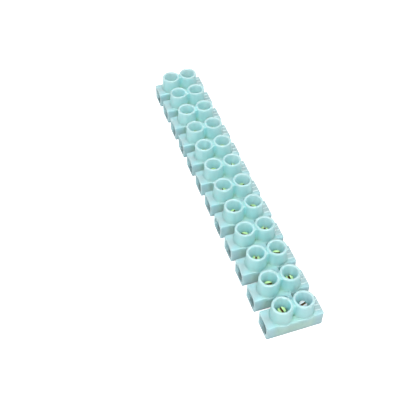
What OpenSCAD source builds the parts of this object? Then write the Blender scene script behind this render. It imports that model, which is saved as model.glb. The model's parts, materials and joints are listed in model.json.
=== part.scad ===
// Screw terminal strip: one soft moulding with a row of poles. Each pole holds a tubular brass
// terminal that takes a wire from either end, under two slotted headless clamp screws.
// X runs along the wires, Y along the strip, Z up. The origin is at the middle of the flat base.

/* [Strip] */
// Number of poles in the strip
poles = 12; // [2:1:12]
// Distance from one pole to the next
pitch = 10; // [9.4:0.1:14]
// Length of one pole's body, from one wire entry to the other
body_len = 17.8; // [16.8:0.1:22]
// Width of a body at its wire entries
body_w = 6.5; // [6.2:0.1:7]
// Height of the bodies
body_h = 5.6; // [5.4:0.1:7]
// Radius on the upright corners of a body
corner_r = 0.35; // [0.1:0.05:0.6]
// Width of a body's top between its two towers
waist_w = 7.1; // [6.9:0.1:7.4]
// Diameter of the shoulder under each tower, which tapers away to the body's width at the base
shoulder_d = 7.7; // [7.5:0.1:8.2]

/* [Towers] */
// Distance between the two towers of a pole
tower_gap = 6.7; // [6.5:0.1:8]
// Height of the tower rims above the base
tower_top = 10.9; // [9.8:0.1:14]
// Outer diameter of a tower just above its flared foot
foot_d = 6.8; // [6.5:0.1:6.9]
// Radius of the hollow flare at a tower's foot
foot_flare = 0.6; // [0.3:0.1:0.6]
// Outer diameter of a tower under its rim
rim_d = 6.3; // [6:0.1:6.4]
// Diameter of the screwdriver well at the rim
well_top_d = 4.8; // [4.5:0.1:5]
// Diameter of the screwdriver well where it meets the terminal
well_foot_d = 4.1; // [4:0.05:4.3]
// How far the rounded bead stands proud of each side of the wall
bead_proud = 0.03; // [0.01:0.01:0.1]

/* [Webs] */
// Length of the web between two bodies, along the wires
web_len = 4.8; // [4.2:0.1:5.5]
// Diameter of the fixing hole through each web
fixing_d = 2.2; // [2:0.1:3]

/* [Wire entries] */
// Width of the mouth at each end of a body
mouth_w = 5.3; // [5:0.1:5.6]
// Height of the mouth
mouth_h = 4.7; // [4.65:0.05:4.9]
// Corner radius of the mouth
mouth_r = 1.9; // [1:0.1:2.2]
// Depth of the mouth, down to the tunnel
mouth_depth = 2; // [1:0.1:2.2]

/* [Raised bars] */
// Number of plain raised bars on the marked end of each body
bars = 3; // [1:1:3]
// Length of a bar
bar_len = 1.95; // [1:0.05:2.1]
// Width of a bar
bar_w = 0.5; // [0.3:0.1:0.8]
// Height of a bar above the body
bar_h = 0.2; // [0.1:0.05:0.4]
// Distance between the bars
bar_step = 1.7; // [1.2:0.1:2]
// Distance from the end of the body to the bars
bar_margin = 0.3; // [0.2:0.1:0.6]

/* [Terminal] */
// Outer diameter of the brass terminal
terminal_d = 4.4; // [4.2:0.1:4.5]
// Diameter of its wire bore
wire_d = 3; // [2.8:0.1:3.2]
// Length of the terminal
terminal_len = 12.6; // [12:0.1:13]
// Clearance around the terminal in its tunnel
terminal_clear = 0.1; // [0.05:0.01:0.12]
// Chamfer on the terminal's outer and inner edges
terminal_chamfer = 0.25; // [0.1:0.05:0.3]

/* [Clamp screw] */
// Outside diameter of the headless screw
screw_d = 2.6; // [2:0.1:2.7]
// Clearance around the thread in its tapped hole
screw_clear = 0.05; // [0.02:0.01:0.08]
// Length of the screw
screw_len = 3.5; // [3:0.1:4.5]
// Width of the driver slot
slot_w = 0.6; // [0.4:0.1:0.8]
// Depth of the driver slot
slot_depth = 0.7; // [0.3:0.1:0.9]
// Chamfer on the screw's two ends
screw_chamfer = 0.2; // [0.1:0.05:0.35]
// Gap between the opened screw's tip and the wire bore
tip_clear = 0.05; // [0.02:0.01:0.2]
// How much further the first pole's screw is backed out on side a
first_raise_a = 0.5; // [0:0.05:0.8]
// How much further the first pole's screw is backed out on side b
first_raise_b = 0.35; // [0:0.05:0.8]

/* [Hidden] */
$fn = 96;
SIDES = ["a", "b"];
function two_digits(n) = n < 10 ? str("0", n) : str(n);
function barrel_name(i) = str("barrel_", two_digits(i));
function screw_name(i, side) = str("screw_", two_digits(i), "_", side);

// Cutters run this far past the faces they open
past = 1;
wire_z = body_h / 2;
tunnel_d = terminal_d + 2 * terminal_clear;
bead_r = (rim_d - well_top_d) / 4 + bead_proud;
bead_z = tower_top - bead_r;
open_z = wire_z + wire_d / 2 + tip_clear;
// A flare's arc is centred lower than its radius, so that it meets the body's top at an angle
flare_z = body_h + 0.9 * foot_flare;
flare_r = foot_d / 2 + 0.6 * foot_flare;
flare_root = 0.2;
// A raised bar is the top of a round rod sunk into the body
bar_r = (bar_w * bar_w / 4 + bar_h * bar_h) / (2 * bar_h);
// The slot of each screw stops at its own angle, because each was turned by hand
first_turn = 100;
side_turn = -83;
pole_turn = 73;

function pole_y(i) = (i - (poles + 1) / 2) * pitch;
function side_x(side) = side == "a" ? -tower_gap / 2 : tower_gap / 2;
function slot_turn(i, side) = first_turn + pole_turn * (i - 1) + (side == "b" ? side_turn : 0);
function tip_z(i, side) = open_z + (i > 1 ? 0 : side == "a" ? first_raise_a : first_raise_b);

module at_poles() {
    for (i = [1:poles])
        translate([0, pole_y(i), 0])
            children();
}

module at_towers() {
    at_poles()
        for (side = SIDES)
            translate([side_x(side), 0, 0])
                children();
}

module at_webs() {
    for (i = [1:poles - 1])
        translate([0, pole_y(i) + pitch / 2, 0])
            children();
}

// A flat rounded rectangle about the origin, made from true arcs
module rounded_rect(w, h, r) {
    square([w - 2 * r, h], center = true);
    square([w, h - 2 * r], center = true);
    for (x = [-1, 1], y = [-1, 1])
        translate([x * (w / 2 - r), y * (h / 2 - r)])
            circle(r);
}

// The outline of bodies and webs, as seen from above
module strip_outline() {
    at_poles()
        rounded_rect(body_len, body_w, corner_r);
    at_webs()
        square([web_len, pitch], center = true);
}

// The middle of a body widens from the base to the top
module waist() {
    rotate([90, 0, 90])
        linear_extrude(tower_gap, center = true)
            polygon([
                [-body_w / 2, 0],
                [body_w / 2, 0],
                [waist_w / 2, body_h],
                [-waist_w / 2, body_h]
            ]);
}

module shoulder() {
    cylinder(h = body_h, d1 = body_w, d2 = shoulder_d);
}

// A tower's tapered wall and flared foot, still solid, rooted in the body's top
module tower_blank() {
    rotate_extrude()
        difference() {
            polygon([
                [0, body_h - flare_root],
                [flare_r, body_h - flare_root],
                [flare_r, flare_z],
                [foot_d / 2, flare_z],
                [rim_d / 2, bead_z],
                [0, bead_z]
            ]);
            translate([foot_d / 2 + foot_flare, flare_z])
                circle(foot_flare);
        }
}

// The tapered well from the terminal up through the rim
module screw_well() {
    slope = (well_top_d - well_foot_d) / (bead_z - wire_z);
    translate([0, 0, wire_z])
        cylinder(h = bead_z + past - wire_z, d1 = well_foot_d, d2 = well_top_d + slope * past);
}

module rim_bead() {
    translate([0, 0, bead_z])
        rotate_extrude()
            translate([(rim_d + well_top_d) / 4, 0])
                circle(bead_r, $fn = 48);
}

// The tunnel along a pole and the rounded mouth at each end of it
module wire_way() {
    translate([0, 0, wire_z])
        rotate([90, 0, 90]) {
            cylinder(h = body_len, d = tunnel_d, center = true);
            for (end = [-1, 1])
                translate([0, 0, end * (body_len / 2 - mouth_depth / 2 + past / 2)])
                    linear_extrude(mouth_depth + past, center = true)
                        rounded_rect(mouth_w, mouth_h, mouth_r);
        }
}

// Plain raised bars stand where a maker would mould a rating
module marking_bars() {
    for (i = [0:bars - 1])
        translate([
            body_len / 2 - bar_margin - bar_len,
            (i - (bars - 1) / 2) * bar_step,
            body_h + bar_h - bar_r
        ])
            rotate([0, 90, 0])
                cylinder(h = bar_len, r = bar_r, $fn = 48);
}

module housing() {
    color([0.72, 0.92, 0.92, 0.85]) {
        difference() {
            union() {
                linear_extrude(body_h)
                    strip_outline();
                at_poles() {
                    waist();
                    marking_bars();
                }
                at_towers() {
                    shoulder();
                    tower_blank();
                }
            }
            at_towers()
                screw_well();
            at_poles()
                wire_way();
            at_webs()
                translate([0, 0, -past])
                    cylinder(h = body_h + 2 * past, d = fixing_d);
        }
        at_towers()
            rim_bead();
    }
}

// A turned tube with both bores chamfered and two tapped holes in its crown
module barrel(i) {
    end_cut = terminal_chamfer + past;
    color([0.80, 0.68, 0.32])
        translate([0, pole_y(i), wire_z])
            difference() {
                rotate([0, 90, 0])
                    rotate_extrude()
                        polygon([
                            [0, -terminal_len / 2],
                            [terminal_d / 2 - terminal_chamfer, -terminal_len / 2],
                            [terminal_d / 2, terminal_chamfer - terminal_len / 2],
                            [terminal_d / 2, terminal_len / 2 - terminal_chamfer],
                            [terminal_d / 2 - terminal_chamfer, terminal_len / 2],
                            [0, terminal_len / 2]
                        ]);
                rotate([0, 90, 0])
                    cylinder(h = terminal_len + 2 * past, d = wire_d, center = true);
                for (turn = [0, 180])
                    rotate([0, 90, turn])
                        translate([0, 0, terminal_len / 2 - terminal_chamfer])
                            cylinder(h = end_cut, d1 = wire_d, d2 = wire_d + 2 * end_cut);
                for (side = SIDES)
                    translate([side_x(side), 0, 0])
                        cylinder(h = terminal_d, d = screw_d + 2 * screw_clear);
            }
}

// The slotted headless screw, backed out until its tip has left the wire bore
module screw(i, side) {
    color([0.78, 0.70, 0.42])
        translate([side_x(side), pole_y(i), tip_z(i, side)])
            difference() {
                rotate_extrude()
                    polygon([
                        [0, 0],
                        [screw_d / 2 - screw_chamfer, 0],
                        [screw_d / 2, screw_chamfer],
                        [screw_d / 2, screw_len - screw_chamfer],
                        [screw_d / 2 - screw_chamfer, screw_len],
                        [0, screw_len]
                    ]);
                rotate([0, 0, slot_turn(i, side)])
                    translate([-screw_d, -slot_w / 2, screw_len - slot_depth])
                        cube([2 * screw_d, slot_w, slot_depth + past]);
            }
}

housing();
for (i = [1:poles]) {
    barrel(i);
    for (side = SIDES)
        screw(i, side);
}
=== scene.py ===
# Screw terminal strip: a natural polyethylene moulding on brass terminals, with slotted clamp screws
import json
import math

import bpy
from mathutils import Matrix, Vector


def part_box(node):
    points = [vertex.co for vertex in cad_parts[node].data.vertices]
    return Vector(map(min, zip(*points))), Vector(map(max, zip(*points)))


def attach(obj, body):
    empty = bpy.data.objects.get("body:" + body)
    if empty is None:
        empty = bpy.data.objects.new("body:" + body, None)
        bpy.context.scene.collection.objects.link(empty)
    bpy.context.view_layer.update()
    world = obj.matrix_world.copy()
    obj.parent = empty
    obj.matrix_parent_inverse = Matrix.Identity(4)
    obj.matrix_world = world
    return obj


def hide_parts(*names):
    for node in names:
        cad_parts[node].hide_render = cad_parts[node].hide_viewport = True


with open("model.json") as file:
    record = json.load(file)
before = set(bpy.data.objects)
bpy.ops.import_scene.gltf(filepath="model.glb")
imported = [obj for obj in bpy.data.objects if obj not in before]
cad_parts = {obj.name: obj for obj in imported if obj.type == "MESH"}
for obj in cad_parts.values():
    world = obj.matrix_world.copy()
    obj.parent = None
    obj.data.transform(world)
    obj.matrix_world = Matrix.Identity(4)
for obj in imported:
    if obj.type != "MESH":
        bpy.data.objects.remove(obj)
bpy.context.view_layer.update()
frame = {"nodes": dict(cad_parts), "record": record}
mm = 0.001  # the dictionaries hold millimetres and degrees, unless a note says otherwise
past = 1  # how far most cutters run past the face that they open, in millimetres
touch = 1e-6  # two places closer than this are one place, in metres
weld = 2e-6  # two points closer than this are merged, in metres
barrelNames = sorted(n for n in frame["nodes"] if n.startswith("barrel_"))
screwNames = sorted(n for n in frame["nodes"] if n.startswith("screw_"))
print("frame loaded:", len(barrelNames), "poles,", len(screwNames), "screws")


def middle(node):
    low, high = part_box(node)
    return (low + high) / 2


# the places that every piece is measured from
stripLow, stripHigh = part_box("housing")
barrelLow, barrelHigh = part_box(barrelNames[0])
screwLow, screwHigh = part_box(screwNames[0])
poleYs = [middle(n).y for n in barrelNames]
pitch = poleYs[1] - poleYs[0]
wireZ = middle(barrelNames[0]).z
towerX = middle(screwNames[1]).x
terminalTop = barrelHigh.z


def deselectAll():
    active = bpy.context.view_layer.objects.active
    if active and active.mode != "OBJECT":
        bpy.ops.object.mode_set(mode="OBJECT")
    bpy.ops.object.select_all(action="DESELECT")


def selectOnly(*pieces):
    deselectAll()
    for piece in pieces:
        piece.select_set(True)
    bpy.context.view_layer.objects.active = pieces[0]


def editAll(piece):
    selectOnly(piece)
    bpy.ops.object.mode_set(mode="EDIT")
    bpy.ops.mesh.select_all(action="SELECT")


def selectEdges(piece, test):
    # picks the edges whose two ends both pass the test, and leaves edit mode on
    editAll(piece)
    bpy.ops.mesh.select_all(action="DESELECT")
    bpy.ops.mesh.select_mode(type="EDGE")
    bpy.ops.object.mode_set(mode="OBJECT")
    points = piece.data.vertices
    for edge in piece.data.edges:
        a, b = (points[i].co for i in edge.vertices)
        edge.select = test(a, b)
    bpy.ops.object.mode_set(mode="EDIT")


def applyModifier(piece, kind, **settings):
    selectOnly(piece)
    modifier = piece.modifiers.new(kind.lower(), kind)
    for name, value in settings.items():
        setattr(modifier, name, value)
    bpy.ops.object.modifier_apply(modifier=modifier.name)


def combine(piece, other, operation):
    applyModifier(piece, "BOOLEAN", object=other, operation=operation, solver="EXACT")
    bpy.data.objects.remove(other)


def copyTo(piece, name, offset, turn=0):
    # a copy with its own mesh, turned about the upright axis and moved
    twin = piece.copy()
    twin.data = piece.data.copy()
    twin.name = name
    twin.data.transform(Matrix.Translation(offset) @ Matrix.Rotation(turn, 4, "Z"))
    bpy.context.scene.collection.objects.link(twin)
    return twin


def joinAll(pieces):
    selectOnly(*pieces)
    bpy.ops.object.join()
    return bpy.context.object


def atEach(piece, places):
    # copies one piece to every place and joins the copies into one object
    copies = [copyTo(piece, f"{piece.name}_{i}", Vector(p)) for i, p in enumerate(places)]
    bpy.data.objects.remove(piece)
    return joinAll(copies)


def drawLine(name, points):
    # one vertex is extruded from point to point, as with a pen
    deselectAll()
    bpy.ops.mesh.primitive_plane_add(size=mm)
    piece = bpy.context.object
    piece.name = name
    bpy.ops.object.mode_set(mode="EDIT")
    bpy.ops.mesh.merge(type="CENTER")
    bpy.ops.transform.translate(value=points[0])
    for before, after in zip(points, points[1:]):
        step = Vector(after) - Vector(before)
        bpy.ops.mesh.extrude_region_move(TRANSFORM_OT_translate={"value": step})
    return piece


def tidySkin():
    # called in edit mode: closes the seams, turns the faces outwards and leaves edit mode
    bpy.ops.mesh.select_all(action="SELECT")
    bpy.ops.mesh.remove_doubles(threshold=weld)
    bpy.ops.mesh.normals_make_consistent(inside=False)
    bpy.ops.object.mode_set(mode="OBJECT")


def lathe(name, profile, steps):
    # spins a profile of (radius, height) about the upright axis
    piece = drawLine(name, [Vector((r, 0, z)) for r, z in profile])
    bpy.ops.mesh.select_all(action="SELECT")
    bpy.ops.mesh.spin(steps=steps, angle=2 * math.pi, center=(0, 0, 0), axis=(0, 0, 1))
    tidySkin()
    return piece


def arc(cx, cy, radius, start, end, steps):
    # points on a circle, from one angle in degrees to another
    angles = [math.radians(start + (end - start) * i / steps) for i in range(steps + 1)]
    return [(cx + radius * math.cos(a), cy + radius * math.sin(a)) for a in angles]


def fillOutline(name, outline, z, height):
    # draws an outline, fills it and pulls it up into a solid
    piece = drawLine(name, [Vector((x, y, z)) for x, y in outline])
    bpy.ops.mesh.select_all(action="SELECT")
    bpy.ops.mesh.edge_face_add()
    bpy.ops.mesh.extrude_region_move(TRANSFORM_OT_translate={"value": (0, 0, height)})
    tidySkin()
    return piece


def roundEdges(piece, test, radius, segments):
    selectEdges(piece, test)
    bpy.ops.mesh.bevel(offset=radius, segments=segments, profile=0.5, affect="EDGES")
    bpy.ops.mesh.select_mode(type="VERT")
    tidySkin()


def smoothSkin(piece, degrees):
    selectOnly(piece)
    bpy.ops.object.shade_smooth_by_angle(angle=math.radians(degrees))
    applyModifier(piece, "WEIGHTED_NORMAL", keep_sharp=True, weight=50)


def finishPiece(piece, name, body, slot, material, *nodes):
    piece.name = piece.data.name = name
    piece.data.materials.clear()
    piece.data.materials.append(material)
    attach(piece, body)
    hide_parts(*nodes)


def linearColour(hexText):
    # sRGB hex to the linear values that a colour socket takes
    values = [int(hexText[i:i + 2], 16) / 255 for i in (1, 3, 5)]
    return tuple(v / 12.92 if v <= 0.04045 else ((v + 0.055) / 1.055) ** 2.4 for v in values) + (1,)


def addNode(tree, kind, settings=None, links=None):
    # settings name a property or a socket, links name the socket that an output goes to
    node = tree.nodes.new(kind)
    for name, value in (settings or {}).items():
        if isinstance(name, str) and hasattr(node, name):
            setattr(node, name, value)
        else:
            node.inputs[name].default_value = value
    for name, source in (links or {}).items():
        tree.links.new(source, node.inputs[name])
    return node


def newMaterial(name):
    material = bpy.data.materials.new(name)
    material.use_nodes = True
    tree = material.node_tree
    tree.nodes.clear()
    return material, tree


def perMillimetre(size):
    # the noise scale whose features are this many millimetres wide
    return 1 / (size * mm)


noiseMiddle = (0.3, 0.7)  # nearly all of a noise texture's values lie in this range
bandSpacing = 0.31746  # the bands of a wave texture stand about this part of its unit apart

# a reach, a height or ends say where a tone is absent and where it is full
polyethylene = {
    # painted light: the towers' thin walls are painted lighter, for light that shines through them, and the
    # bodies darker, for light lost in the thick plastic
    "thinPaintedLight": ("#AEE6E6", "#A4DEDF"),  # the towers' walls, in two shades
    "thickPaintedShade": ("#A2D0DA", "#9ACAD4"),  # the bodies, in two shades
    "thinFrom": 7.5,  # height from which the moulding counts as thin
    "thickBelow": 0.6,  # how far under the bodies' top it counts as thick
    # painted light: the wells' inner walls are painted lighter and bluer, lifting the shade inside them
    "well": "#B2EEFF", "wellReach": (2.8, 2.45), "wellHeight": (5.0, 6.0),
    # painted glow: beside each terminal the moulding is painted lighter and greener, standing in for the
    # brass's light seen through the plastic
    "brassPaintedGlow": "#B4DEB4", "brassGlowShare": 0.55, "brassGlowReach": (5.6, 2.6), "brassGlowEnds": (7.6, 4.6),
    # painted highlight: the crests of the raised bars are painted lighter
    "bar": "#CCFAFF", "barReach": (6.4, 6.6), "barHeight": (5.62, 5.72),
    "cloudSize": 5, "grainSize": 0.5, "grainDepth": 0.01, "grainStrength": 0.35,
    "roughness": (0.32, 0.46),
    "scatterLength": 5.0,  # how far light wanders inside
    "clearShare": 0.04,  # how much of the light goes straight through
}


def paintedLightMasks(tree, place):
    # where painted light goes: a painted lighter wall in a well, a painted brass glow beside a terminal and a
    # painted highlight on a raised bar
    p = polyethylene
    axes = addNode(tree, "ShaderNodeSeparateXYZ", None, {"Vector": place}).outputs
    along = addNode(tree, "ShaderNodeMath", {"operation": "WRAP", 1: pitch, 2: 0.0}, {0: axes["Y"]})
    aside = addNode(tree, "ShaderNodeMath", {"operation": "SUBTRACT", 1: poleYs[0] % pitch},
                    {0: along.outputs[0]})
    outward = addNode(tree, "ShaderNodeMath", {"operation": "ABSOLUTE"}, {0: axes["X"]})
    beyond = addNode(tree, "ShaderNodeMath", {"operation": "SUBTRACT", 1: towerX}, {0: outward.outputs[0]})
    above = addNode(tree, "ShaderNodeMath", {"operation": "SUBTRACT", 1: wireZ}, {0: axes["Z"]})
    distances = []
    for other in (beyond, above):
        across = addNode(tree, "ShaderNodeCombineXYZ", None, {"X": aside.outputs[0], "Y": other.outputs[0]})
        length = addNode(tree, "ShaderNodeVectorMath", {"operation": "LENGTH"}, {0: across.outputs[0]})
        distances.append(length.outputs["Value"])
    masks = []
    for first, firstRange, second, secondRange, share in (
        (distances[0], p["wellReach"], axes["Z"], p["wellHeight"], 1),
        (distances[1], p["brassGlowReach"], outward.outputs[0], p["brassGlowEnds"], p["brassGlowShare"]),
        (axes["X"], p["barReach"], axes["Z"], p["barHeight"], 1),
    ):
        fades = [addNode(tree, "ShaderNodeMapRange",
                         {"interpolation_type": "SMOOTHSTEP", "From Min": start * mm, "From Max": end * mm,
                          "To Max": top}, {"Value": value}).outputs["Result"]
                 for value, (start, end), top in ((first, firstRange, share), (second, secondRange, 1))]
        masks.append(addNode(tree, "ShaderNodeMath", {"operation": "MULTIPLY"},
                             {0: fades[0], 1: fades[1]}).outputs[0])
    return masks


def mouldedPolyethylene():
    # natural polyethylene, injection moulded: milky and waxy, with painted light: deeper in tone where it is
    # thick, lighter where thin, a painted glow where the brass would show through, painted lighter wells and
    # painted highlights on the bars
    p = polyethylene
    material, tree = newMaterial("moulded natural polyethylene")
    place = addNode(tree, "ShaderNodeTexCoord").outputs["Object"]
    cloud = addNode(tree, "ShaderNodeTexNoise",
                    {"Scale": perMillimetre(p["cloudSize"]), "Detail": 2.0}, {"Vector": place}).outputs["Fac"]

    def clouded(pair):
        return addNode(tree, "ShaderNodeMix", {"data_type": "RGBA", 6: linearColour(pair[0]),
                                               7: linearColour(pair[1])}, {0: cloud}).outputs[2]

    height = addNode(tree, "ShaderNodeSeparateXYZ", None, {"Vector": place}).outputs["Z"]
    # painted light: the moulding is painted lighter up the towers and darker in the bodies, going by height
    # alone
    thinness = addNode(tree, "ShaderNodeMapRange",
                       {"interpolation_type": "SMOOTHSTEP", "From Min": bodyTop - p["thickBelow"] * mm,
                        "From Max": p["thinFrom"] * mm}, {"Value": height})
    colour = addNode(tree, "ShaderNodeMix", {"data_type": "RGBA"},
                     {0: thinness.outputs["Result"], 6: clouded(p["thickPaintedShade"]), 7: clouded(p["thinPaintedLight"])})
    # the painted lighter wells, the painted brass glow and the painted bar highlights are mixed over the base
    # colour
    for mask, tone in zip(paintedLightMasks(tree, place), ("well", "brassPaintedGlow", "bar")):
        colour = addNode(tree, "ShaderNodeMix", {"data_type": "RGBA", 7: linearColour(p[tone])},
                         {0: mask, 6: colour.outputs[2]})
    wax = addNode(tree, "ShaderNodeMapRange",
                  {"From Min": noiseMiddle[0], "From Max": noiseMiddle[1],
                   "To Min": p["roughness"][0], "To Max": p["roughness"][1]},
                  {"Value": cloud})
    grain = addNode(tree, "ShaderNodeTexNoise",
                    {"Scale": perMillimetre(p["grainSize"]), "Detail": 3.0}, {"Vector": place})
    bump = addNode(tree, "ShaderNodeBump",
                   {"Strength": p["grainStrength"], "Distance": p["grainDepth"] * mm},
                   {"Height": grain.outputs["Fac"]})
    skin = addNode(tree, "ShaderNodeBsdfPrincipled",
                   {"IOR": 1.51, "Transmission Weight": p["clearShare"], "Subsurface Weight": 1.0,
                    "Subsurface Radius": (1.0, 1.0, 1.0), "Subsurface Scale": p["scatterLength"] * mm,
                    "subsurface_method": "RANDOM_WALK"},
                   {"Base Color": colour.outputs[2], "Roughness": wax.outputs["Result"],
                    "Normal": bump.outputs["Normal"]})
    addNode(tree, "ShaderNodeOutputMaterial", None, {"Surface": skin.outputs["BSDF"]})
    return material


def stainedMetal(name, colours, p):
    # a metal that one stain dulls in colour and in sheen; tool marks ring it where its dictionary has them
    material, tree = newMaterial(name)
    place = addNode(tree, "ShaderNodeTexCoord").outputs["Object"]
    stain = addNode(tree, "ShaderNodeTexNoise",
                    {"Scale": perMillimetre(p["stain"]), "Detail": p["stainDetail"]}, {"Vector": place})
    colour = addNode(tree, "ShaderNodeMix",
                     {"data_type": "RGBA", 6: linearColour(colours[0]), 7: linearColour(colours[1])},
                     {0: stain.outputs["Fac"]})
    relief = stain
    if "toolMark" in p:
        relief = addNode(tree, "ShaderNodeTexWave",
                         {"bands_direction": "X", "Scale": perMillimetre(p["toolMark"]) * bandSpacing,
                          "Distortion": 1.0, "Detail": 2.0}, {"Vector": place})
    bump = addNode(tree, "ShaderNodeBump",
                   {"Strength": p["reliefStrength"], "Distance": p["reliefDepth"] * mm},
                   {"Height": relief.outputs["Fac"]})
    rough = addNode(tree, "ShaderNodeMapRange",
                    {"From Min": noiseMiddle[0], "From Max": noiseMiddle[1],
                     "To Min": p["roughness"][0], "To Max": p["roughness"][1]},
                    {"Value": stain.outputs["Fac"]})
    metal = addNode(tree, "ShaderNodeBsdfPrincipled", {"Metallic": 1.0},
                    {"Base Color": colour.outputs[2], "Roughness": rough.outputs["Result"],
                     "Normal": bump.outputs["Normal"]})
    addNode(tree, "ShaderNodeOutputMaterial", None, {"Surface": metal.outputs["BSDF"]})
    return material


brass = {
    "colours": ("#D9B55B", "#B98F3C"),  # bright, and dulled by the air
    "stain": 1.2, "stainDetail": 4.0, "roughness": (0.22, 0.4),
    "toolMark": 0.16,  # from one ring to the next; real ones are finer and would not show
    "reliefDepth": 0.01, "reliefStrength": 0.25,
}


def turnedBrass():
    # free-cutting brass rod, turned and drilled: warm yellow with fine rings round its axis
    return stainedMetal("turned brass", brass["colours"], brass)


screwFinish = {
    "yellow": ("#B6D8A0", "#9CC088"),
    "silver": ("#C8D4D4", "#AEB6BA"),
    # darker brown steel inside the driver slots
    "slotDark": ("#746442", "#5C4636"),  # inside the driver slots
    "silverScrew": "screw_01_b",  # the only one without the yellow passivation
    "stain": 0.9, "stainDetail": 5.0, "roughness": (0.5, 0.65),
    "reliefDepth": 0.02, "reliefStrength": 0.3,
}


def platedSteel(name, colours):
    # machined steel, plated in a barrel: satin, and duller where the plating is thin
    return stainedMetal(name, colours, screwFinish)


viewpoint = {
    "azimuth": -18.73, "elevation": 48.41, "distance": 229.34, "target": (-9.86, -8.39, 5.0),
    "lens": 60.05, "sensor": 36, "clip": (0.01, 20),  # the clip distances are in metres
}


def placeCamera():
    v = viewpoint
    a, e = math.radians(v["azimuth"]), math.radians(v["elevation"])
    back = Vector((math.sin(a) * math.cos(e), -math.cos(a) * math.cos(e), math.sin(e)))
    deselectAll()
    bpy.ops.object.camera_add(location=(Vector(v["target"]) + back * v["distance"]) * mm)
    camera = bpy.context.object
    camera.rotation_euler = (-back).to_track_quat("-Z", "Y").to_euler()
    camera.data.lens = v["lens"]
    camera.data.sensor_width = v["sensor"]
    camera.data.clip_start, camera.data.clip_end = v["clip"]
    bpy.context.scene.camera = camera


placeCamera()
print("camera placed")


body = {
    "endWidth": 6.5, "waistWidth": 7.1, "shoulderRadius": 3.85, "cornerRadius": 0.35,
    "blendRadius": 1.6, "webLength": 4.8, "height": 5.6, "rimRounding": 0.2, "crease": 38,
}
tower = {
    "footRadius": 3.4, "neckRadius": 3.15, "wellTop": 2.4, "wellFoot": 2.05, "lipProud": 0.03, "steps": 64,
    "flare": 0.4, "flareRise": 0.9,  # the second is in flare radii, from the body's top to the arc's middle
    "root": 1,  # how deep a tower is sunk into the body before the two are joined
}
bodyTop = body["height"] * mm
halfLength = stripHigh.x


def sideOutline(webBefore, webAfter):
    # one pole's edge on the +X side, in millimetres from the pole's middle, going up Y
    b = body
    end = b["endWidth"] / 2
    waist = b["waistWidth"] / 2
    shoulder, blend, c = b["shoulderRadius"], b["blendRadius"], b["cornerRadius"]
    half, cx = halfLength / mm, towerX / mm
    # the hollow blend between the round shoulder and the straight side
    blendX = cx + math.sqrt((shoulder + blend) ** 2 - (end + blend) ** 2)
    lean = math.degrees(math.atan2(end + blend, blendX - cx))
    # where the shoulder leaves the waist, or the web
    inner = b["webLength"] / 2
    webAngle = math.degrees(math.acos((inner - cx) / shoulder))
    waistX = cx - math.sqrt(shoulder ** 2 - waist ** 2)
    waistAngle = math.degrees(math.atan2(waist, waistX - cx))

    def upper(web):
        corner = arc(half - c, end - c, c, 0, 90, steps=4)
        hollow = arc(blendX, end + blend, blend, 270, 180 + lean, steps=5)
        crown = arc(cx, 0, shoulder, lean, webAngle if web else waistAngle, steps=12)[1:]
        tail = [(inner, pitch / mm / 2)] if web else []
        return corner + hollow + crown + tail

    below = [(x, -y) for x, y in reversed(upper(webBefore))]
    return below + upper(webAfter)


def makeBody(webBefore, webAfter):
    # one pole with half a web on either side, its shoulders drawn in to the body's width at the base
    right = sideOutline(webBefore, webAfter)
    left = [(-x, y) for x, y in reversed(right)]
    piece = fillOutline("pole", [(x * mm, y * mm) for x, y in right + left], 0, bodyTop)
    half = body["endWidth"] / 2 * mm
    shoulder = body["shoulderRadius"] * mm
    for point in piece.data.vertices:
        if point.co.z < bodyTop / 2 and abs(point.co.y) < shoulder + touch:
            point.co.y = max(-half, min(half, point.co.y))

    def onRim(a, b):
        seam = abs(abs(a.y) - pitch / 2) < touch and abs(abs(b.y) - pitch / 2) < touch
        return abs(a.z - b.z) < touch and not seam

    roundEdges(piece, onRim, body["rimRounding"] * mm, segments=3)
    return piece


lipRadius = (tower["neckRadius"] - tower["wellTop"]) / 2 + tower["lipProud"]
lipMiddle = (tower["neckRadius"] + tower["wellTop"]) / 2
lipZ = stripHigh.z / mm - lipRadius

rib = {"halfWidth": 1.35, "clearOfWell": 0.15, "root": 0.5, "belowLip": 0.1, "rounding": 0.3}


def makeRib():
    # the wall that joins the two towers of a pole
    r = rib
    low, high = bodyTop / mm - r["root"], lipZ - r["belowLip"]
    deselectAll()
    bpy.ops.mesh.primitive_cube_add(size=1)
    piece = bpy.context.object
    reach = 2 * (towerX / mm - tower["wellTop"] - r["clearOfWell"])
    piece.data.transform(Matrix.Diagonal((reach * mm, 2 * r["halfWidth"] * mm, (high - low) * mm, 1)))
    piece.data.transform(Matrix.Translation((0, 0, (high + low) / 2 * mm)))

    def onTop(a, b):
        return min(a.z, b.z) > high * mm - touch and abs(a.y - b.y) < touch

    roundEdges(piece, onTop, r["rounding"] * mm, segments=3)
    return piece


def makeTowers():
    t = tower
    foot, flare, top = t["footRadius"], t["flare"], bodyTop / mm
    root = top - t["root"]
    profile = [(0, root), (foot, root)]
    # up the hollow flare at the foot, then over the outer half of the lip
    profile += arc(foot + flare, top + t["flareRise"] * flare, flare, 250, 182, steps=7)
    profile += arc(lipMiddle, lipZ, lipRadius, -22, 90, steps=10)
    profile += [(0, stripHigh.z / mm)]
    one = lathe("tower", [(r * mm, z * mm) for r, z in profile], t["steps"])
    other = copyTo(one, "otherTower", Vector((-towerX, 0, 0)))
    one.data.transform(Matrix.Translation((towerX, 0, 0)))
    combine(one, other, "UNION")
    return one


def makeWells():
    t = tower
    bottom = wireZ / mm
    profile = [(0, bottom), (t["wellFoot"], bottom)]
    # up the inner half of the lip
    profile += arc(lipMiddle, lipZ, lipRadius, 202, 92, steps=10)
    profile += [(lipMiddle, stripHigh.z / mm + past), (0, stripHigh.z / mm + past)]
    one = lathe("well", [(r * mm, z * mm) for r, z in profile], t["steps"])
    return atEach(one, [(s * towerX, 0, 0) for s in (-1, 1)])


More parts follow.
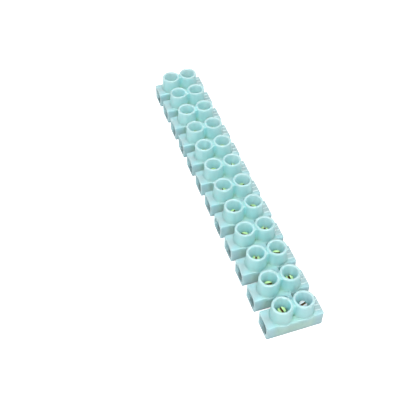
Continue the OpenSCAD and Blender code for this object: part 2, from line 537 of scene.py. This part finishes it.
mouth = {
    "width": 5.3, "height": 4.7, "corner": 1.9, "depth": 2, "flare": 0.2,
    "tunnelRadius": 2.3, "tunnelSteps": 48,
}


def makeWireWay():
    # the mouth is drawn flat, pulled out along X and flared where it meets the end face
    m = mouth
    w, h, c, f = m["width"] / 2, m["height"] / 2, m["corner"], m["flare"]
    ring = []
    for i, (sideY, sideZ) in enumerate(((1, 1), (-1, 1), (-1, -1), (1, -1))):
        ring += arc(sideY * (w - c), sideZ * (h - c), c, 90 * i, 90 * (i + 1), steps=8)
    face = halfLength / mm
    x, grown = face - m["depth"], 0
    piece = drawLine("mouth", [Vector((x * mm, y * mm, wireZ + z * mm)) for y, z in ring])
    bpy.ops.mesh.select_all(action="SELECT")
    bpy.ops.mesh.edge_face_add()
    quarter = [math.radians(a) for a in (0, 30, 60, 90)]
    lips = [(face - f + f * math.sin(a), f * (1 - math.cos(a))) for a in quarter]
    for nextX, growth in lips + [(face + past, f)]:
        bpy.ops.mesh.extrude_region_move(TRANSFORM_OT_translate={"value": ((nextX - x) * mm, 0, 0)})
        stretch = (1, (w + growth) / (w + grown), (h + growth) / (h + grown))
        bpy.ops.transform.resize(value=stretch, center_override=(0, 0, wireZ))
        x, grown = nextX, growth
    tidySkin()
    other = copyTo(piece, "otherMouth", Vector((0, 0, 0)), math.pi)
    deselectAll()
    # the tunnel ends halfway along each mouth, so that no end of it lies in a mouth's floor
    bpy.ops.mesh.primitive_cylinder_add(
        vertices=m["tunnelSteps"], radius=m["tunnelRadius"] * mm, depth=(2 * face - m["depth"]) * mm,
        location=(0, 0, wireZ), rotation=(0, math.pi / 2, 0))
    tunnel = bpy.context.object
    bpy.ops.object.transform_apply(location=True, rotation=True, scale=True)
    combine(tunnel, piece, "UNION")
    combine(tunnel, other, "UNION")
    return tunnel


fixing = {"radius": 1.1, "edgeBreak": 0.12, "steps": 48, "cutterPast": 0.5}


def makeFixingHole(y):
    r, k, beyond, top = fixing["radius"], fixing["edgeBreak"], fixing["cutterPast"], bodyTop / mm
    profile = [(0, -beyond), (r + k, -beyond), (r + k, 0), (r, k), (r, top - k), (r + k, top)]
    profile += [(r + k, top + beyond), (0, top + beyond)]
    one = lathe("fixingHole", [(x * mm, z * mm) for x, z in profile], fixing["steps"])
    one.data.transform(Matrix.Translation((0, y, 0)))
    return one


bars = {
    "count": 3, "length": 1.95, "width": 0.5, "height": 0.2, "step": 1.7, "margin": 0.3, "rounding": 0.06,
    "rodSteps": 24,
}


def makeBars():
    # each bar is the crown of a round rod sunk into the body
    b = bars
    radius = (b["width"] ** 2 / 4 + b["height"] ** 2) / (2 * b["height"])
    x = halfLength / mm - b["margin"] - b["length"] / 2
    z = bodyTop / mm + b["height"] - radius
    deselectAll()
    bpy.ops.mesh.primitive_cylinder_add(
        vertices=b["rodSteps"], radius=radius * mm, depth=b["length"] * mm, location=(x * mm, 0, z * mm),
        rotation=(0, math.pi / 2, 0))
    one = bpy.context.object
    one.name = "bar"
    bpy.ops.object.transform_apply(location=True, rotation=True, scale=True)

    def atEnd(p, q):
        return abs(p.x - q.x) < touch

    roundEdges(one, atEnd, b["rounding"] * mm, segments=2)
    middleBar = (b["count"] - 1) / 2
    return atEach(one, [(0, (i - middleBar) * b["step"] * mm, 0) for i in range(b["count"])])


def openSeams(piece):
    # deletes the faces where a web runs on into the next pole
    editAll(piece)
    bpy.ops.mesh.select_mode(type="FACE")
    bpy.ops.mesh.select_all(action="DESELECT")
    bpy.ops.object.mode_set(mode="OBJECT")
    for face in piece.data.polygons:
        corners = [piece.data.vertices[i].co.y for i in face.vertices]
        face.select = all(abs(abs(y) - pitch / 2) < touch for y in corners)
    bpy.ops.object.mode_set(mode="EDIT")
    bpy.ops.mesh.delete(type="FACE")
    bpy.ops.mesh.select_mode(type="VERT")
    bpy.ops.object.mode_set(mode="OBJECT")


def makePole(webBefore, webAfter):
    # one pole of the moulding, open where a web runs on into the next pole
    piece = makeBody(webBefore, webAfter)
    combine(piece, makeTowers(), "UNION")
    combine(piece, makeRib(), "UNION")
    combine(piece, makeBars(), "UNION")
    combine(piece, makeWells(), "DIFFERENCE")
    combine(piece, makeWireWay(), "DIFFERENCE")
    if webBefore:
        combine(piece, makeFixingHole(-pitch / 2), "DIFFERENCE")
    if webAfter:
        combine(piece, makeFixingHole(pitch / 2), "DIFFERENCE")
    openSeams(piece)
    return piece


def makeHousing(material):
    first, last = makePole(False, True), makePole(True, False)
    inner = makePole(True, True)
    print("poles modelled:", [len(p.data.polygons) for p in (first, inner, last)], "faces")
    first.data.transform(Matrix.Translation((0, poleYs[0], 0)))
    last.data.transform(Matrix.Translation((0, poleYs[-1], 0)))
    piece = joinAll([atEach(inner, [(0, y, 0) for y in poleYs[1:-1]]), first, last])
    editAll(piece)
    tidySkin()
    smoothSkin(piece, body["crease"])
    finishPiece(piece, "strip_moulding", "strip", "polyethylene", material, "housing")
    print("housing made:", len(piece.data.polygons), "faces")


terminal = {
    "outer": 2.2, "bore": 1.5, "chamfer": 0.25, "steps": 56, "crease": 35,
    "tapped": 1.35, "threadPitch": 0.45, "threadDepth": 0.04, "tappedSteps": 40,
    "lead": 0.2, "leadPast": 0.02,  # the second is how far the chamfer runs on over the crown
    "tappedFrom": 0.4,  # where the cutter starts, above the axis of the wire bore
}


def makeTerminals(material):
    t = terminal
    half = (barrelHigh.x - barrelLow.x) / mm / 2
    outer, bore, c = t["outer"], t["bore"], t["chamfer"]
    profile = [(bore, c - half), (bore + c, -half), (outer - c, -half), (outer, c - half)]
    profile += [(x, -z) for x, z in reversed(profile)]
    profile += [profile[0]]
    one = lathe("terminal", [(x * mm, z * mm) for x, z in profile], t["steps"])
    one.data.transform(Matrix.Translation((0, 0, wireZ)) @ Matrix.Rotation(math.pi / 2, 4, "Y"))
    # each tapped hole is a cutter with thread grooves and a lead chamfer at the crown
    h, p, k = t["tapped"], t["threadPitch"], t["lead"]
    crown = terminalTop / mm
    z = wireZ / mm + t["tappedFrom"]
    cutter = [(0, z)]
    while z < crown - k - p:
        cutter += [(h - t["threadDepth"], z), (h, z + p / 2)]
        z += p
    cutter += [(h, crown - k), (h + k, crown + t["leadPast"]), (h + k, crown + past), (0, crown + past)]
    hole = lathe("tappedHole", [(x * mm, y * mm) for x, y in cutter], t["tappedSteps"])
    combine(one, atEach(hole, [(s * towerX, 0, 0) for s in (-1, 1)]), "DIFFERENCE")
    editAll(one)
    tidySkin()
    smoothSkin(one, t["crease"])
    for name in barrelNames:
        twin = copyTo(one, name, Vector((0, middle(name).y, 0)))
        finishPiece(twin, name.replace("barrel", "terminal"), "strip", "terminal_brass", material, name)
    bpy.data.objects.remove(one)
    print("terminals made")


screw = {
    "thread": 1.3, "core": 1.08, "threadPitch": 0.45, "chamfer": 0.2, "dish": 0.04, "steps": 40, "crease": 35,
    "threadFrom": 0.05, "crest": 0.06,  # the plain part before the first groove, and between two grooves
    "root": (0.45, 0.55),  # the flat floor of a groove, in thread pitches
    "slotWidth": 0.6, "slotDepth": 0.7, "slotLead": 0.06, "cutterPast": 0.5,
    "firstTurn": 100, "poleTurn": 73, "sideTurn": -83,
}


def makeScrews(yellow, silver, slotDark):
    # a headless screw, its thread cut as grooves between two chamfered ends
    s = screw
    height = (screwHigh.z - screwLow.z) / mm
    thread, core, p, c = s["thread"], s["core"], s["threadPitch"], s["chamfer"]
    profile = [(0, 0), (thread - c, 0), (thread, c)]
    z = c + s["threadFrom"]
    low, high = s["root"]
    while z < height - c - p:
        profile += [(thread, z), (core, z + low * p), (core, z + high * p), (thread, z + p - s["crest"])]
        z += p
    profile += [(thread, height - c), (thread - c, height)]
    profile += [(thread / 2, height - s["dish"]), (0, height - s["dish"])]
    one = lathe("screw", [(x * mm, y * mm) for x, y in profile], s["steps"])
    deselectAll()
    bpy.ops.mesh.primitive_cube_add(size=1)
    slot = bpy.context.object
    w, d, k = s["slotWidth"], s["slotDepth"], s["slotLead"]
    # the cutter is longer than the screw is wide and stands out over its top
    tall = d + s["cutterPast"]
    slot.data.transform(Matrix.Diagonal((3 * thread * mm, w * mm, tall * mm, 1)))
    slot.data.transform(Matrix.Translation((0, 0, (height - d + tall / 2) * mm)))
    combine(one, slot, "DIFFERENCE")
    editAll(one)
    tidySkin()
    slotFloor = (height - d) * mm

    def slotLip(a, b):
        onWall = abs(abs(a.y) - w * mm / 2) < touch and abs(abs(b.y) - w * mm / 2) < touch
        return onWall and min(a.z, b.z) > slotFloor + touch

    def inSlot(point):
        return abs(point.y) < w * mm / 2 + touch and point.z > slotFloor - touch

    roundEdges(one, slotLip, k * mm, segments=2)
    smoothSkin(one, s["crease"])
    slotFaces = [face.index for face in one.data.polygons
                 if all(inSlot(one.data.vertices[i].co) for i in face.vertices)]
    for name in screwNames:
        pole, side = int(name.split("_")[1]), name[-1]
        turn = s["firstTurn"] + s["poleTurn"] * (pole - 1) + (s["sideTurn"] if side == "b" else 0)
        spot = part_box(name)[0]
        twin = copyTo(one, name, Vector((middle(name).x, middle(name).y, spot.z)), math.radians(turn))
        bodyName = next(b for b, nodes in frame["record"]["behaviour"]["bodies"].items() if name in nodes)
        finish = silver if name == screwFinish["silverScrew"] else yellow
        finishPiece(twin, name.replace("screw", "clampScrew"), bodyName, "plated_screw", finish, name)
        twin.data.materials.append(slotDark)
        for index in slotFaces:
            twin.data.polygons[index].material_index = 1
    bpy.data.objects.remove(one)
    print("screws made")


makeHousing(mouldedPolyethylene())
makeTerminals(turnedBrass())
makeScrews(
    platedSteel("yellow passivated steel", screwFinish["yellow"]),
    platedSteel("bright plated steel", screwFinish["silver"]),
    platedSteel("darker steel in the slots", screwFinish["slotDark"]),
)


studio = {
    "floorSize": 3000, "floorGap": 0.02, "floor": "#B4B8B8",
    "whiten": 0.8,  # a glow that only shows where the floor is looked at
    "world": 0.37,  # how strongly the white surroundings light the strip
}
# places and sizes in metres, power in watts
softboxes = {
    # the key stands behind and above the camera, so that it reaches down the wells
    "key": {"place": (-0.25, -0.75, 0.9), "size": 0.3, "power": 8.2},
    "top": {"place": (0, -0.1, 1.1), "size": 0.4, "power": 6.0},
    "fill": {"place": (-0.7, -0.15, 0.35), "size": 0.5, "power": 0.9},
}


def directSight(tree):
    # 1 for a ray that looks straight at the studio or sees it in gloss or glass, and 0 for one that lights
    path = addNode(tree, "ShaderNodeLightPath").outputs
    seen = path["Is Camera Ray"]
    for kind in ("Is Glossy Ray", "Is Transmission Ray"):
        seen = addNode(tree, "ShaderNodeMath", {"operation": "MAXIMUM"}, {0: seen, 1: path[kind]}).outputs[0]
    return seen


def makeFloor():
    deselectAll()
    bpy.ops.mesh.primitive_plane_add(size=studio["floorSize"] * mm)
    floor = bpy.context.object
    floor.name = "floor"
    floor.data.transform(Matrix.Translation((0, 0, stripLow.z - studio["floorGap"] * mm)))
    material, tree = newMaterial("white board")
    extra = addNode(tree, "ShaderNodeMath", {"operation": "MULTIPLY", 1: studio["whiten"]},
                    {0: directSight(tree)})
    glow = addNode(tree, "ShaderNodeEmission", None, {"Strength": extra.outputs[0]})
    paper = addNode(tree, "ShaderNodeBsdfDiffuse", {"Color": linearColour(studio["floor"])})
    both = addNode(tree, "ShaderNodeAddShader", None, {0: paper.outputs[0], 1: glow.outputs[0]})
    addNode(tree, "ShaderNodeOutputMaterial", None, {"Surface": both.outputs[0]})
    floor.data.materials.append(material)


def addSoftbox(name, box):
    # a square lamp that faces the middle of the strip
    deselectAll()
    bpy.ops.object.light_add(type="AREA", location=box["place"])
    lamp = bpy.context.object
    lamp.name = name
    lamp.data.size = box["size"]
    lamp.data.energy = box["power"]
    lamp.rotation_euler = (-Vector(box["place"])).to_track_quat("-Z", "Y").to_euler()


def lightStudio():
    world = bpy.data.worlds.new("studio")
    bpy.context.scene.world = world
    world.use_nodes = True
    tree = world.node_tree
    tree.nodes.clear()
    strength = addNode(tree, "ShaderNodeMath",
                       {"operation": "MULTIPLY_ADD", 1: 1 - studio["world"], 2: studio["world"]},
                       {0: directSight(tree)})
    sky = addNode(tree, "ShaderNodeBackground", {"Color": (1, 1, 1, 1)}, {"Strength": strength.outputs[0]})
    addNode(tree, "ShaderNodeOutputWorld", None, {"Surface": sky.outputs[0]})
    for name, box in softboxes.items():
        addSoftbox(name, box)


makeFloor()
lightStudio()
bpy.context.scene.view_settings.view_transform = "Standard"
print("studio lit")
